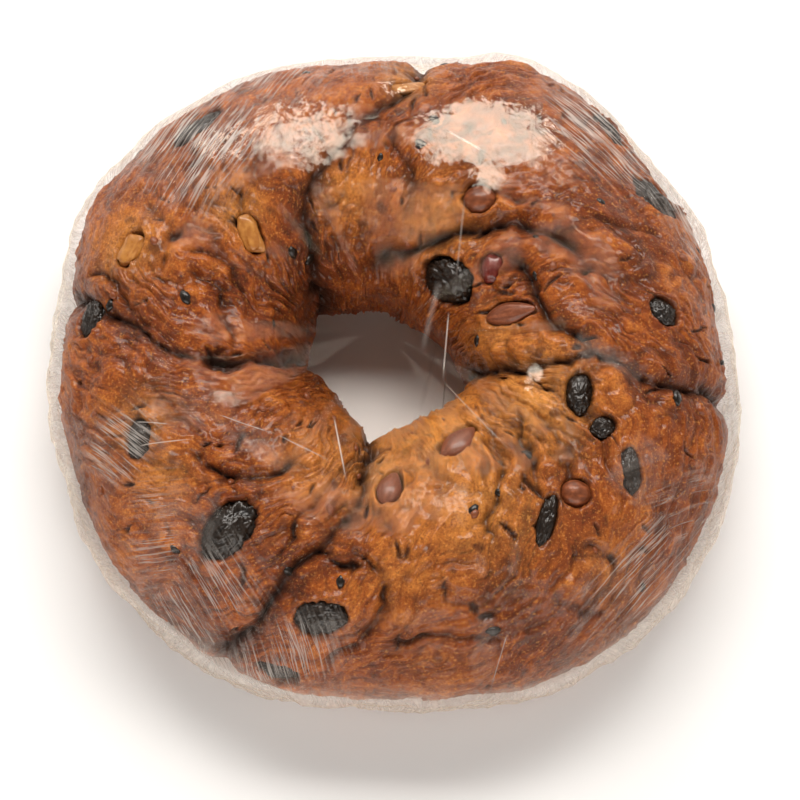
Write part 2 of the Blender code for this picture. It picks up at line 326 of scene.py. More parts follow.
def makeFruitMaterials():  # painted shade in the hollows of the raisins' folds, nut skins streaked along their ribs, speckled, with a thin glaze
    made = {}
    for kind, facts in fruitKinds.items():
        made[kind], tree, shader = nodesOf(kind + "Skin")
        speckle = noiseNode(tree, 700, 4, 0.65)
        mixed = weighed(tree, (attributeNode(tree, "folds"), 0.6), (speckle, 0.5))
        setInputs(shader, {
            "Base Color": ramp(tree, remap(tree, mixed, 0.35, 0.95), [(0, facts["low"]), (1, facts["high"])]),
            "Roughness": remap(tree, speckle, 0.3, 0.7, facts["rough"] - 0.08, facts["rough"] + 0.14),
            "Specular IOR Level": 0.3, "Coat Weight": facts["coat"], "Coat Roughness": 0.12,
            "Normal": bumped(tree, speckle, 0.35, 0.0003),
        })
    return made


# Further folds in the dough: depth, width and their (direction, radius) places.
folds = [
    (6.5, 7.0, [(100, 26), (92, 34), (76, 39), (60, 47), (47, 60), (36, 72), (26, 78), (14, 82)]),
    (7.0, 6.0, [(38, 59), (26, 58), (15, 60), (5, 63), (-1, 71), (-7, 82)]),
    (5.0, 5.0, [(188, 58), (178, 59), (167, 63), (163, 71), (164, 82)]),
    (3.5, 4.0, [(159, 84), (157, 79), (155, 71), (157, 62), (165, 54)]),
    (3.5, 4.0, [(167, 121), (165, 116), (167, 107), (172, 101), (177, 92), (178, 83)]),
    (4.0, 4.0, [(135, 92), (134, 86), (135, 78), (140, 69), (144, 59)]),
    (3.0, 4.0, [(149, 108), (152, 97), (158, 91), (166, 91)]),
    (3.5, 3.5, [(189, 72), (187, 63), (192, 56), (195, 61), (192, 70)]),
    (2.0, 3.0, [(33, 90), (27, 100), (24, 110), (20, 115)]),
    (2.5, 3.0, [(28, 83), (28, 92), (24, 101), (18, 104), (15, 96), (16, 86), (21, 83)]),
    (4.0, 4.0, [(316, 52), (314, 61), (306, 75), (296, 86), (295, 97)]),
    (4.0, 4.0, [(331, 57), (320, 69), (314, 85), (307, 96)]),
    (3.5, 3.5, [(333, 60), (328, 75), (321, 89), (314, 96)]),
    (2.5, 4.0, [(338, 74), (334, 90), (326, 102), (323, 116)]),
    (2.0, 3.0, [(287, 42), (287, 55), (289, 68)]),
    (3.5, 4.0, [(248, 101), (254, 91), (264, 90), (270, 100), (268, 115), (262, 124), (255, 125)]),
    (3.0, 3.5, [(254, 80), (259, 70), (269, 73), (273, 86)]),
    (2.5, 3.0, [(273, 119), (281, 120), (288, 124), (295, 127), (303, 127)]),
    (2.5, 3.5, [(308, 112), (314, 116), (313, 129), (308, 135), (304, 128), (304, 116)]),
    (2.5, 3.0, [(212, 114), (219, 109), (228, 115)]),
    (4.5, 5.0, [(210, 88), (223, 83), (234, 70), (236, 53)]),
    (3.0, 4.0, [(251, 64), (247, 84), (246, 102)]),
    (2.5, 4.0, [(103, 95), (100, 77), (105, 61), (118, 53)]),
    (3.0, 4.0, [(94, 93), (85, 76), (80, 60), (81, 39)]),
    (3.0, 4.0, [(72, 58), (60, 68), (48, 74), (39, 79)]),
]
# Pale golden and deep brown parts of the crust: direction, radius, size, strength.
golden = [
    (296, 41, 30, 1.0), (296, 76, 24, 0.7), (272, 56, 20, 0.8), (247, 55, 18, 0.5), (334, 62, 22, 0.9),
    (139, 75, 11, 0.8), (159, 106, 12, 0.9), (103, 60, 14, 0.5), (66, 53, 16, 0.6), (201, 99, 12, 0.6),
    (213, 101, 11, 0.5), (359, 42, 12, 0.6), (313, 124, 12, 0.3), (276, 95, 16, 0.3), (85, 112, 10, 0.8),
]
brown = [
    (39, 89, 28, 0.5), (17, 105, 28, 0.7), (171, 113, 20, 0.6), (134, 104, 22, 0.7), (203, 70, 22, 0.4),
    (242, 95, 16, 0.5), (154, 37, 20, 0.6), (350, 122, 24, 0.8), (281, 130, 36, 0.6), (101, 31, 18, 0.5),
    (310, 138, 30, 0.7), (331, 120, 26, 0.6), (60, 130, 30, 0.6), (90, 130, 30, 0.5), (202, 124, 22, 0.6),
    (192, 34, 16, 0.7), (32, 24, 16, 0.4),
]
bumps = [  # buried fruit and swellings: direction, radius, half length, half width, height, turned
    (343, 88, 8, 8, 2.6, 0), (308, 123, 10, 7, 2.8, 30), (210, 91, 8, 7, 1.8, 0),
    (21, 94, 13, 9, 2.6, -30), (262, 106, 13, 10, 2.4, 20), (120, 79, 9, 7, 2.0, 0),
    (158, 82, 10, 8, 2.0, 10), (303, 66, 8, 14, 2.0, 75), (190, 108, 9, 7, 1.6, 60),
    (226, 112, 10, 7, 1.6, -45), (287, 104, 7, 6, 1.4, 0), (66, 84, 9, 6, 1.6, -20),
]
hollows = [  # gaps with painted shade in them: direction, radius, half length, half width, depth, turned from the radius
    (191, 63, 6.0, 3.2, 4.0, 170), (187, 66, 3.0, 1.2, 2.5, 120), (261, 93, 6.5, 2.0, 2.8, 80),
    (289, 117, 3.5, 2.2, 2.2, 60), (276, 119, 7.0, 1.0, 2.2, 90), (288, 138, 5.0, 1.4, 2.2, 85),
    (287, 113, 3.0, 2.0, 1.8, 0), (300, 92, 5.0, 1.8, 2.4, 10), (312, 84, 6.0, 1.6, 2.6, 0),
    (142, 71, 6.0, 1.6, 2.6, 20), (154, 90, 4.0, 1.8, 2.4, 30), (136, 102, 5.0, 1.6, 2.4, 70),
]


# Small ones at random places: how many, and the ranges of the radius, half length, half
# width, height or depth, and turn.
scattered = {
    "bumps": (90, (44, 126), (3, 7), (2.5, 4.5), (0.7, 2.1), (0, 180)),
    "tears": (130, (40, 130), (1.8, 4.5), (0.5, 1.1), (0.8, 2.2), (-25, 25)),
    "spots": (230, (38, 130), (1.2, 3.4), (0.9, 2.0), (0.1, 0.5), (-30, 30)),
}


def makeFeatures(seed=4):
    rng = np.random.RandomState(seed)
    some = {"bumps": list(bumps), "tears": list(hollows), "spots": []}
    for kind, (count, *ranges) in scattered.items():
        for _ in range(count):
            some[kind].append(tuple(rng.uniform(*limits) for limits in [(0, 360), *ranges]))
    return some


features = makeFeatures()
seamLines = {name: seamLine(name) for name in seams}
foldLines = [(depth, width, onCrust(points)) for depth, width, points in folds]


def flowFrame(points, direction, turn):
    # across and along the stretched strands of the dough, in mm
    share = (1 + np.cos(turn)) / 2
    swirl = 45.0 + 40.0 * ease(-np.sin(direction), -0.3, 0.8)
    across = direction * 84.0 + swirl * share**2.2
    across = across + 11.0 * noise(points, 34, 5) + 7.0 * noise(points, 15, 6) + 2.6 * noise(points, 6, 7)
    return across, 48.0 * turn


def surfaceAxes(direction, radius, turned):
    # a place on the smooth ring and its axes, the first one pointing the given way from above
    a = np.array([math.radians(direction)])
    t = turnAt(a, np.array([float(radius)]))
    place, normal = doughPoint(a, t)[0], doughNormal(a, t)[0]
    along = np.array([math.cos(math.radians(turned)), math.sin(math.radians(turned)), 0.0])
    along -= normal * (along @ normal)
    along /= np.linalg.norm(along)
    return place, along, np.cross(normal, along), normal


def ovalReach(points, direction, radius, halfLength, halfWidth, turned, limit=2.6):
    # which points lie near an oval on the crust, and how far out they lie in half lengths
    place, along, side, _ = surfaceAxes(direction, radius, turned)
    near = np.flatnonzero(np.abs(points - place).max(1) < limit * max(halfLength, halfWidth))
    q = points[near] - place
    high = q @ np.cross(along, side)
    reach = np.sqrt(((q @ along) / halfLength) ** 2 + ((q @ side) / halfWidth) ** 2 + (high / 12) ** 2)
    return near, reach


def zoneShare(points, zones):
    total = np.zeros(len(points))
    for direction, radius, size, strength in zones:
        a = math.radians(direction)
        centre = radius * np.array([math.cos(a), math.sin(a)])
        d = np.linalg.norm(points[:, :2] - centre, axis=1) / size
        total = np.maximum(total, strength * np.exp(-(d**2)))
    return total


def valley(distance, width):  # the depth of a rounded valley, 0 at its sides and 1 in its middle
    x = np.clip(1 - distance / width, 0, 1)
    return (1 - np.sqrt(np.maximum(1 - x**2, 0))) ** 0.9


def carve(points, out, paintedShade, line, depth, width):  # a fold along a line, with swollen lips and painted shade along its bottom
    middle = line.mean(0)
    reach = np.linalg.norm(line - middle, axis=1).max() + 2 * width
    near = np.flatnonzero(np.linalg.norm(points - middle, axis=1) < reach)
    d, place = distanceTo(points[near], line)
    taper = ease(place, 0, 0.18) * (1 - ease(place, 0.8, 1.0))
    out[near] -= 1.3 * depth * taper * valley(d, width)
    out[near] += 0.16 * depth * taper * np.exp(-(((d - 1.25 * width) / (0.5 * width)) ** 2))
    shade = taper * np.exp(-((d / (0.28 * width)) ** 2)) * min(1.0, depth / 4.5)
    paintedShade[near] = np.maximum(paintedShade[near], shade)


swells = [(2.2, 46, 1), (1.3, 21, 2)]  # broad unevenness: height, size and seed
lumps = [(0.50, 4.2, 14), (0.24, 1.9, 15)]  # the same for the fine skin
strandShape = {  # stretched strands: cell size, how much longer than wide, height and the shade painted in their grooves
    "swell": (8.0, 2.5, 0.5, 0.035), "rib": (3.8, 1.5, 0.28, 0.05), "thread": (1.9, 0.65), "longer": 3.6,
}


def relief(direction, turn, fine=True):
    # how far the crust stands out of the smooth ring, in mm, and what colours it, with shade painted into its
    # seams, folds, grooves and hollows and round the fruit
    p = doughPoint(direction, turn)
    out = sum(height * noise(p, size, seed) for height, size, seed in swells)
    q = p + wander(p, 2.4, 11, 21)
    if fine:
        q += wander(p, 0.7, 3.6, 24)
    paintedShade = np.zeros(len(p))
    for name, line in seamLines.items():
        d, _ = distanceTo(q, line)
        atEnds, onCrown, width = seamShape[name]
        deep = onCrown + (atEnds - onCrown) * np.abs(np.cos(turn)) ** 1.5
        out -= deep * valley(d, width)
        # painted shade along the seam
        paintedShade = np.maximum(paintedShade, np.exp(-((d / 2.2) ** 2)))
    for depth, width, line in foldLines:
        carve(q, out, paintedShade, line, depth, width)
    for u, r, halfLength, halfWidth, height, turned in features["bumps"]:
        near, reach = ovalReach(q, u, r, halfLength, halfWidth, turned)
        out[near] += height * np.exp(-(reach**2.4))
        out[near] -= 0.3 * height * np.exp(-(((reach - 1.35) / 0.22) ** 2))
        shade = 0.20 * height * np.exp(-(((reach - 1.35) / 0.14) ** 2))
        paintedShade[near] = np.maximum(paintedShade[near], shade)
    across, along = flowFrame(p, direction, turn)
    strands = np.stack([across, along / strandShape["longer"], np.zeros(len(p))], -1)
    patchy = ease(noise(p, 26, 8), -0.55, 0.35)
    for (size, height, grooveShade, sharpness), seed in ((strandShape["swell"], 9), (strandShape["rib"], 10)):
        strand = np.abs(noise(strands, size, seed))
        out += patchy * height * (strand - 0.25)
        # painted shade in the grooves between the strands
        paintedShade = np.maximum(paintedShade, grooveShade * patchy * np.exp(-((strand / sharpness) ** 2)))
    spot = np.zeros(len(p))
    streak = 0.5 + 0.3 * noise(strands, 6.0, 11) + 0.22 * noise(strands, 2.6, 12)
    if fine:
        size, height = strandShape["thread"]
        out += (0.3 + 0.7 * patchy) * height * (np.abs(noise(strands, size, 13)) - 0.25)
        out += sum(height * noise(p, size, seed) for height, size, seed in lumps)
        streak += 0.18 * noise(strands, 1.3, 16)
        for u, r, halfLength, halfWidth, depth, off in features["tears"]:
            near, reach = ovalReach(q, u, r, halfLength, halfWidth, u + off)
            hollow = 1 - ease(reach, 0.5, 1.25)
            out[near] -= depth * hollow
            out[near] += 0.3 * np.exp(-(((reach - 1.6) / 0.35) ** 2))
            # painted shade inside the tear
            paintedShade[near] = np.maximum(paintedShade[near], hollow)
        for u, r, halfLength, halfWidth, strength, off in features["spots"]:
            near, reach = ovalReach(q, u, r, halfLength, halfWidth, u + off)
            spot[near] = np.maximum(spot[near], (0.35 + strength) * (1 - ease(reach, 0.7, 1.3)))
            out[near] += strength * (1 - ease(reach, 0.2, 1.1))
        addSockets(p, out, paintedShade)
    out = out * (1 - ease(-np.sin(turn), 0.35, 0.75))  # flat underneath
    looks = {
        "paintedShade": np.clip(paintedShade, 0, 1), "streak": streak, "spot": spot, "relief": out,
        "golden": zoneShare(q, golden), "brown": zoneShare(q, brown),
        "flow": np.stack([across, along / 3.0, np.zeros(len(p))], -1),
    }
    return out, looks


def crustPoints(direction, turn, fine=True, lift=0.0):  # on the crust, and its looks
    out, looks = relief(direction, turn, fine)
    return doughPoint(direction, turn) + doughNormal(direction, turn) * (out[:, None] + lift), looks


def bandFaces(rows, columns):  # four-sided faces of a closed band of rows, from its first row up
    r, c = np.arange(rows - 1)[:, None], np.arange(columns)[None, :]
    beside = (c + 1) % columns
    corners = [r * columns + c, r * columns + beside, (r + 1) * columns + beside, (r + 1) * columns + c]
    return np.stack([np.broadcast_to(corner, (rows - 1, columns)).ravel() for corner in corners], -1)


def meshFromGrid(name, points):
    # points: rows x columns x 3 in mm from the hole's middle; the rows go round the rope,
    # and its two ends are closed with fans
    rows, columns, _ = points.shape
    centres = np.stack([points[:, 0].mean(0), points[:, -1].mean(0)])
    verts = (np.vstack([points.reshape(-1, 3), centres]) + holeCentre) * mm
    r, c = np.arange(rows)[:, None], np.arange(columns - 1)[None, :]
    nextRow = (r + 1) % rows
    corners = [r * columns + c, r * columns + c + 1, nextRow * columns + c + 1, nextRow * columns + c]
    quads = np.stack([corner.ravel() for corner in corners], -1)
    first, last = rows * columns, rows * columns + 1
    ends = []
    for i in range(rows):
        j = (i + 1) % rows
        ends.append((first, i * columns, j * columns))
        ends.append((last, j * columns + columns - 1, i * columns + columns - 1))
    loops = np.concatenate([quads.ravel(), np.array(ends).ravel()])
    starts = np.concatenate([np.arange(len(quads)) * 4, quads.size + np.arange(len(ends)) * 3])
    totals = np.concatenate([np.full(len(quads), 4), np.full(len(ends), 3)])
    mesh = bpy.data.meshes.new(name)
    mesh.vertices.add(len(verts))
    mesh.vertices.foreach_set("co", verts.astype(np.float32).ravel())
    mesh.loops.add(len(loops))
    mesh.loops.foreach_set("vertex_index", loops.astype(np.int32))
    mesh.polygons.add(len(starts))
    mesh.polygons.foreach_set("loop_start", starts.astype(np.int32))
    mesh.polygons.foreach_set("loop_total", totals.astype(np.int32))
    mesh.update(calc_edges=True)
    mesh.validate()
    mesh.shade_smooth()
    return mesh


def addObject(name, mesh):
    obj = bpy.data.objects.new(name, mesh)
    bpy.context.scene.collection.objects.link(obj)
    return obj


def addAttribute(mesh, name, values):  # one number or three at each point
    extra = np.zeros((len(mesh.vertices) - len(values), *values.shape[1:]))
    values = np.concatenate([values, extra]).astype(np.float32)
    if values.ndim == 1:
        mesh.attributes.new(name, "FLOAT", "POINT").data.foreach_set("value", values)
    else:
        mesh.attributes.new(name, "FLOAT_VECTOR", "POINT").data.foreach_set("vector", values.ravel())


humps = [  # the piece's name, the seams at its two ends, its columns
    ("hump_right_back", "right", "upperLeft", 330),
    ("hump_left_back", "upperLeft", "left", 200),
    ("hump_left_front", "left", "lower", 230),
    ("hump_right_front", "lower", "right", 250),
]
crustRows = {"upper": 262, "under": 34, "from": -38, "to": 214, "closer": 0.55}  # turns in degrees


def makeHump(name, startSeam, endSeam, columns):
    start, stop = crustRows["from"], crustRows["to"]
    upper = np.radians(np.linspace(start, stop, crustRows["upper"]))
    under = np.radians(np.linspace(stop, start + 360, crustRows["under"] + 2)[1:-1])
    turn = np.concatenate([upper, under])
    share = (1 + np.cos(turn)) / 2
    first, last = seamDirection(startSeam, share), seamDirection(endSeam, share)
    while np.mean(last) < np.mean(first):
        last = last + 2 * np.pi
    s = np.linspace(0, 1, columns)
    s = s - crustRows["closer"] / (2 * np.pi) * np.sin(2 * np.pi * s)  # closer together at the seams
    direction = first[:, None] + (last - first)[:, None] * s[None, :]
    turns = np.repeat(turn[:, None], columns, 1)
    points, looks = crustPoints(direction.ravel(), turns.ravel())
    points[:, 2] = np.maximum(points[:, 2], ring["baseGap"])
    mesh = meshFromGrid(name, points.reshape(len(turn), columns, 3))
    for key, values in looks.items():
        addAttribute(mesh, key, values)
    return addObject(name, mesh)


def nodesOf(name):
    made = bpy.data.materials.new(name)
    made.use_nodes = True
    tree = made.node_tree
    return made, tree, tree.nodes["Principled BSDF"]


def setInputs(node, values):  # each value is a number, a colour or another node's output
    for name, value in values.items():
        if isinstance(value, bpy.types.NodeSocket):
            node.id_data.links.new(value, node.inputs[name])
        else:
            node.inputs[name].default_value = value


def attributeNode(tree, name, output="Fac"):
    node = tree.nodes.new("ShaderNodeAttribute")
    node.attribute_name = name
    return node.outputs[output]


def ramp(tree, source, stops):
    node = tree.nodes.new("ShaderNodeValToRGB")
    node.color_ramp.interpolation = "EASE"
    while len(node.color_ramp.elements) < len(stops):
        node.color_ramp.elements.new(0.5)
    for element, (place, colour) in zip(node.color_ramp.elements, stops):
        element.position = place
        element.color = (*colour, 1.0)
    tree.links.new(source, node.inputs["Fac"])
    return node.outputs["Color"]


def mixColour(tree, factor, a, b):
    node = tree.nodes.new("ShaderNodeMix")
    node.data_type = "RGBA"
    setInputs(node, {0: factor, 6: a, 7: b if isinstance(b, bpy.types.NodeSocket) else (*b, 1.0)})
    return node.outputs[2]


def maths(tree, operation, a, b=0.0, clamp=False):
    node = tree.nodes.new("ShaderNodeMath")
    node.operation = operation
    node.use_clamp = clamp
    setInputs(node, {0: a, 1: b})
    return node.outputs[0]


def times(tree, first, *others):
    for other in others:
        first = maths(tree, "MULTIPLY", first, other)
    return first


def largest(tree, first, *others):
    for other in others:
        first = maths(tree, "MAXIMUM", first, other)
    return first


def weighed(tree, *terms):  # the sum of some values, each with its weight
    total = None
    for value, weight in terms:
        term = value if weight == 1 else times(tree, value, weight)
        total = term if total is None else maths(tree, "ADD", total, term)
    return total


def bumped(tree, height, strength, distance, normal=None):
    bump = tree.nodes.new("ShaderNodeBump")
    setInputs(bump, {"Strength": strength, "Distance": distance, "Height": height})
    if normal is not None:
        setInputs(bump, {"Normal": normal})
    return bump.outputs["Normal"]


def remap(tree, source, low, high, toLow=0.0, toHigh=1.0):
    node = tree.nodes.new("ShaderNodeMapRange")
    node.clamp = True
    setInputs(node, {"Value": source, "From Min": low, "From Max": high, "To Min": toLow, "To Max": toHigh})
    return node.outputs["Result"]


def noiseNode(tree, scale, detail=4.0, roughness=0.55, vector=None):
    node = tree.nodes.new("ShaderNodeTexNoise")
    if vector is None:
        vector = tree.nodes.new("ShaderNodeTexCoord").outputs["Object"]
    setInputs(node, {"Scale": scale, "Detail": detail, "Roughness": roughness, "Vector": vector})
    return node.outputs["Fac"]


# The crust's own colours; "deep" also serves as painted shade where the crust lies deep, and the darkest one
# is painted shade in seams, folds, grooves, hollows and round the fruit.
crustTones = {
    "deep": (0.080, 0.017, 0.005), "red": (0.21, 0.040, 0.007), "orange": (0.41, 0.097, 0.013),
    "light": (0.64, 0.200, 0.034), "golden": (0.86, 0.36, 0.075), "baked": (0.14, 0.031, 0.008),
    "spot": (0.080, 0.020, 0.008), "recessShade": (0.025, 0.009, 0.005),
}
toneWeights = {  # what makes the crust lighter, and how much; by height it is painted shade, darker in the hollows
    "streak": 0.32, "broad": 0.30, "mottled": 0.55, "grainy": 0.62, "fibres": 0.56, "height": 0.035,
}
tonePlaces = {"deep": 0.0, "red": 0.3, "orange": 0.62, "light": 1.0}
glaze = {"specular": 0.14, "coat": 0.34, "coatRough": 0.14, "bump": 0.7, "bumpHeight": 0.0012}


def makeCrustMaterial():
    made, tree, shader = nodesOf("bakedCrust")
    paintedShade, streak, spot, height = (attributeNode(tree, name) for name in ("paintedShade", "streak", "spot", "relief"))
    mottled, grainy = noiseNode(tree, 110, 6, 0.65), noiseNode(tree, 430, 7, 0.78)
    fibres = noiseNode(tree, 0.55, 6, 0.72, attributeNode(tree, "flow", "Vector"))
    sources = {
        "streak": streak, "broad": noiseNode(tree, 20, 3), "mottled": mottled, "grainy": grainy,
        "fibres": fibres, "height": height,
    }
    tone = weighed(tree, *((sources[name], weight) for name, weight in toneWeights.items()))
    stops = [(place, crustTones[name]) for name, place in tonePlaces.items()]
    colour = ramp(tree, remap(tree, tone, 0.99, 1.40), stops)
    speckled = noiseNode(tree, 1000, 4, 0.6)
    for share, shade in (
        (times(tree, attributeNode(tree, "golden"), remap(tree, mottled, 0.35, 0.6, 0.45, 0.95)), "golden"),
        (times(tree, attributeNode(tree, "brown"), remap(tree, mottled, 0.4, 0.65, 0.8, 0.35)), "baked"),
        (remap(tree, grainy, 0.53, 0.66, 0, 0.7), "deep"),
        (remap(tree, speckled, 0.54, 0.64, 0, 0.55), "red"),
        (remap(tree, speckled, 0.44, 0.34, 0, 0.45), "golden"),
        (maths(tree, "MULTIPLY", spot, 0.85, clamp=True), "spot"),
        # painted shade: darker where the crust lies deep
        (remap(tree, height, -1.5, -6.0, 0, 0.65), "deep"),
        # painted shade in the seams, folds, grooves and hollows and round the fruit
        (times(tree, paintedShade, 0.85), "recessShade"),
    ):
        colour = mixColour(tree, share, colour, crustTones[shade])
    pores = weighed(tree, (grainy, 1), (mottled, 1), (fibres, 1))
    setInputs(shader, {
        "Base Color": colour, "Roughness": remap(tree, mottled, 0.35, 0.7, 0.30, 0.52),
        "Specular IOR Level": glaze["specular"], "Coat Weight": glaze["coat"],
        "Coat Roughness": glaze["coatRough"],
        "Normal": bumped(tree, pores, glaze["bump"], glaze["bumpHeight"]),
    })
    return made


stage = {
    "elevation": 72.0, "lens": 135.0, "frameWidth": 0.3152, "sensor": 36.0,
    "target": (0.0026, -0.0101, 0.0277), "tableHalf": 3.0, "tableTone": (0.93, 0.92, 0.91, 1),
    "skyTone": (1.0, 0.98, 0.95, 1), "horizon": (0.02, 1.0), "overhead": (0.55, 0.16),  # height, strength
    "lightTone": (1, 0.97, 0.93), "aim": (0, 0, 0.04),
}
softboxes = {  # place, size and power
    "keyBox": ((0.04, 0.72, 1.15), (1.3, 0.42), 19),
    "backBox": ((-0.2, 1.25, 0.60), (1.4, 0.50), 5),
    "frontFill": ((0.0, -1.45, 0.95), (2.4, 0.8), 19),
}


def lookAt(obj, place, aim):
    obj.location = place
    obj.rotation_euler = (Vector(aim) - Vector(place)).to_track_quat("-Z", "Y").to_euler()
    bpy.context.scene.collection.objects.link(obj)


def makeStage():
    mesh = bpy.data.meshes.new("table")
    half = stage["tableHalf"]
    corners = [(-half, -half, 0), (half, -half, 0), (half, half, 0), (-half, half, 0)]
    mesh.from_pydata(corners, [], [(0, 1, 2, 3)])
    table = addObject("table", mesh)
    made, _, shader = nodesOf("paleTable")
    setInputs(shader, {"Base Color": stage["tableTone"], "Roughness": 0.8})
    mesh.materials.append(made)

    world = bpy.data.worlds.new("studio")
    bpy.context.scene.world = world
    world.use_nodes = True
    sky = world.node_tree  # bright round the horizon, dim overhead
    heading = sky.nodes.new("ShaderNodeTexCoord")
    parts = sky.nodes.new("ShaderNodeSeparateXYZ")
    sky.links.new(heading.outputs["Generated"], parts.inputs[0])
    (low, bright), (high, dim) = stage["horizon"], stage["overhead"]
    setInputs(sky.nodes["Background"], {
        "Color": stage["skyTone"], "Strength": remap(sky, parts.outputs["Z"], low, high, bright, dim),
    })

    for name, (place, size, power) in softboxes.items():
        light = bpy.data.lights.new(name, "AREA")
        light.shape = "RECTANGLE"
        light.size, light.size_y = size
        light.energy = power
        light.color = stage["lightTone"]
        lookAt(bpy.data.objects.new(name, light), place, stage["aim"])

    camera = bpy.data.cameras.new("camera")
    camera.lens, camera.sensor_width = stage["lens"], stage["sensor"]
    camera.clip_start = 0.01
    holder = bpy.data.objects.new("camera", camera)
    distance = stage["lens"] / stage["sensor"] * stage["frameWidth"]
    elevation = math.radians(stage["elevation"])
    target = Vector(stage["target"])
    lookAt(holder, target + Vector((0, -math.cos(elevation), math.sin(elevation))) * distance, target)
    bpy.context.scene.camera = holder
    bpy.context.scene.view_settings.view_transform = "Standard"


# Small currants and nut crumbs that show in the crust, each kind one piece.
bits = {
    "currants": {
        "density": 500.0, "size": (1.0, 2.4), "stretch": (1.5, 0.9, 0.7), "seed": 5, "finish": "raisin",
    },
    "nut_crumbs": {
        "density": 900.0, "size": (0.8, 1.8), "stretch": (1.3, 0.9, 0.8), "seed": 12, "finish": "hazelnut",
    },
}
sowing = {  # the plain copy of the upper crust, how deep bits lie in it and how far from the fruit
    "columns": 260, "rows": 70, "from": -2, "to": 150, "sunk": 0.25, "clear": 1.45, "apart": 0.009,
}


def makeSowingMesh():
    direction = np.linspace(0, 2 * np.pi, sowing["columns"] + 1)[:-1]
    turn = np.radians(np.linspace(sowing["from"], sowing["to"], sowing["rows"]))
    uu, tt = np.meshgrid(direction, turn)
    points, _ = crustPoints(uu.ravel(), tt.ravel(), fine=False, lift=-sowing["sunk"])
    free = np.ones(len(points), bool)
    for _, fruitDirection, radius, length, width, turned in fruitPieces:
        near, reach = ovalReach(points, fruitDirection, radius, length / 2, width / 2, turned)
        free[near[reach < sowing["clear"]]] = False
    faces = bandFaces(*uu.shape)
    mesh = bpy.data.meshes.new("sowing")
    mesh.from_pydata(((points + holeCentre) * mm).tolist(), [], faces[free[faces].all(1)].tolist())
    return mesh


def makeSowingTree():
    # points on the surface, a lumpy ball on each, all made real and given the finish
    tree = bpy.data.node_groups.new("sowBits", "GeometryNodeTree")
    interface = tree.interface
    interface.new_socket("Geometry", in_out="INPUT", socket_type="NodeSocketGeometry")
    for name, kind in (
        ("Density", "Float"), ("Smallest", "Float"), ("Largest", "Float"), ("Stretch", "Vector"),
        ("Seed", "Int"), ("Material", "Material"),
    ):
        interface.new_socket(name, in_out="INPUT", socket_type="NodeSocket" + kind)
    interface.new_socket("Geometry", in_out="OUTPUT", socket_type="NodeSocketGeometry")

    def add(kind, links=(), **settings):
        other = kind.startswith(("Shader", "Function"))
        node = tree.nodes.new(kind if other else "GeometryNode" + kind)
        for key, value in settings.items():
            setattr(node, key, value)
        setInputs(node, dict(links))
        return node

    given = tree.nodes.new("NodeGroupInput").outputs
    ball = add("MeshIcoSphere", [("Radius", 1.0), ("Subdivisions", 2)])
    lumpy = add("ShaderNodeTexNoise", [("Scale", 1.6), ("Detail", 2.0)])
    place = add("InputPosition")
    push = add("ShaderNodeVectorMath", [(0, place.outputs[0])], operation="SCALE")
    amount = add("ShaderNodeMath", [(0, lumpy.outputs["Fac"]), (1, -0.45)], operation="ADD")
    tree.links.new(amount.outputs[0], push.inputs["Scale"])
    shaped = add("SetPosition", [("Geometry", ball.outputs["Mesh"]), ("Offset", push.outputs["Vector"])])
    smooth = add("SetShadeSmooth", [("Geometry", shaped.outputs["Geometry"])])
    squeezed = add("Transform", [("Geometry", smooth.outputs[0]), ("Scale", given["Stretch"])])

    upward = add("InputNormal")
    parts = add("ShaderNodeSeparateXYZ", [(0, upward.outputs[0])])
    facesUp = add("FunctionNodeCompare", [(0, parts.outputs["Z"]), (1, 0.15)], operation="GREATER_THAN")
    sown = add("DistributePointsOnFaces", [
        ("Mesh", given["Geometry"]), ("Selection", facesUp.outputs[0]), ("Distance Min", sowing["apart"]),
        ("Density Max", given["Density"]), ("Seed", given["Seed"]),
    ], distribute_method="POISSON")
    sizes = add("FunctionNodeRandomValue", [
        (2, given["Smallest"]), (3, given["Largest"]), ("Seed", given["Seed"]),
    ])
    spin = add("FunctionNodeRandomValue", [(2, 0.0), (3, 6.283), ("Seed", 3)])
    twist = add("ShaderNodeCombineXYZ", [("Z", spin.outputs[1])])
    turned = add("FunctionNodeRotateRotation", [
        ("Rotation", sown.outputs["Rotation"]), ("Rotate By", twist.outputs[0]),
    ], rotation_space="LOCAL")
    placed = add("InstanceOnPoints", [
        ("Points", sown.outputs["Points"]), ("Instance", squeezed.outputs[0]),
        ("Rotation", turned.outputs[0]), ("Scale", sizes.outputs[1]),
    ])
    real = add("RealizeInstances", [("Geometry", placed.outputs[0])])
    finished = add("SetMaterial", [("Geometry", real.outputs[0]), ("Material", given["Material"])])
    tree.links.new(finished.outputs[0], tree.nodes.new("NodeGroupOutput").inputs[0])
    return tree


def sowBits(name, surface, tree, finish):
    facts = bits[name]
    sower = addObject("sower_" + name, surface.copy())
    modifier = sower.modifiers.new("sow", "NODES")
    modifier.node_group = tree
    values = {
        "Density": facts["density"], "Smallest": facts["size"][0] * mm, "Largest": facts["size"][1] * mm,
        "Stretch": facts["stretch"], "Seed": facts["seed"], "Material": finish,
    }
    for item in tree.interface.items_tree:
        if item.in_out == "INPUT" and item.name in values:
            modifier[item.identifier] = values[item.name]
    evaluated = sower.evaluated_get(bpy.context.evaluated_depsgraph_get())
    mesh = bpy.data.meshes.new_from_object(evaluated)
    bpy.data.objects.remove(sower)
    mesh.name = name
    addAttribute(mesh, "folds", np.full(len(mesh.vertices), 0.6))
    return addObject(name, mesh)


